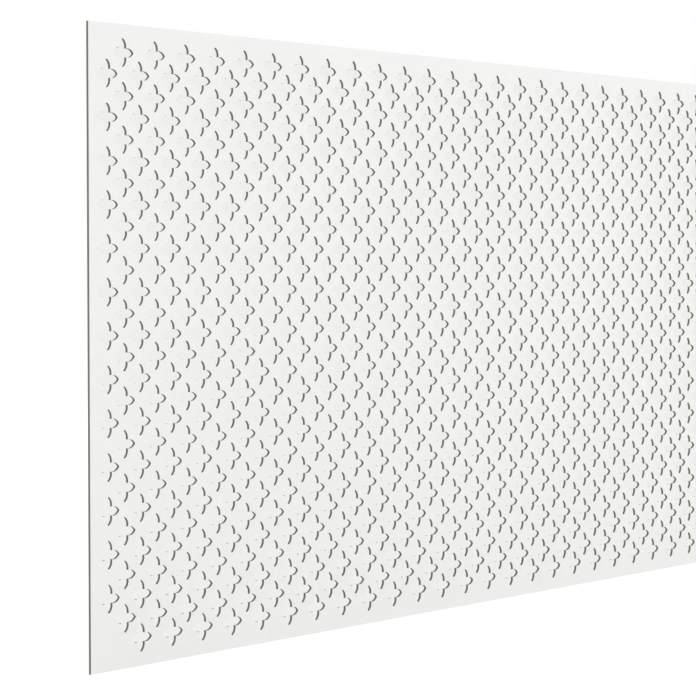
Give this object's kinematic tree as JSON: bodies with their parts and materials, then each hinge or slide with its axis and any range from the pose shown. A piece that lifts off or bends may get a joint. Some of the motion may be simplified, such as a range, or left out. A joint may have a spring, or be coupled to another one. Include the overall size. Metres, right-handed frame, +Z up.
{
  "type": "decorative radiator panel",
  "caption": "Flat pierced grille panel in white-faced fibreboard with a staggered quatrefoil pattern, for covering a radiator or filling a cabinet door.",
  "frame": {"origin": "middle of the bottom edge, half way through the sheet's thickness", "axes": "+X along the sheet to the right as seen from the front, +Y from the front face to the back face, +Z up"},
  "size_m": [1.22, 0.003, 0.61],
  "materials": {
    "raw_fibreboard": "matte",
    "white_facing": "satin",
    "back_facing": "matte"
  },
  "bodies": {
    "root": {"board_core": "raw_fibreboard", "front_coat": "white_facing", "back_coat": "back_facing"}
  },
  "joints": []
}
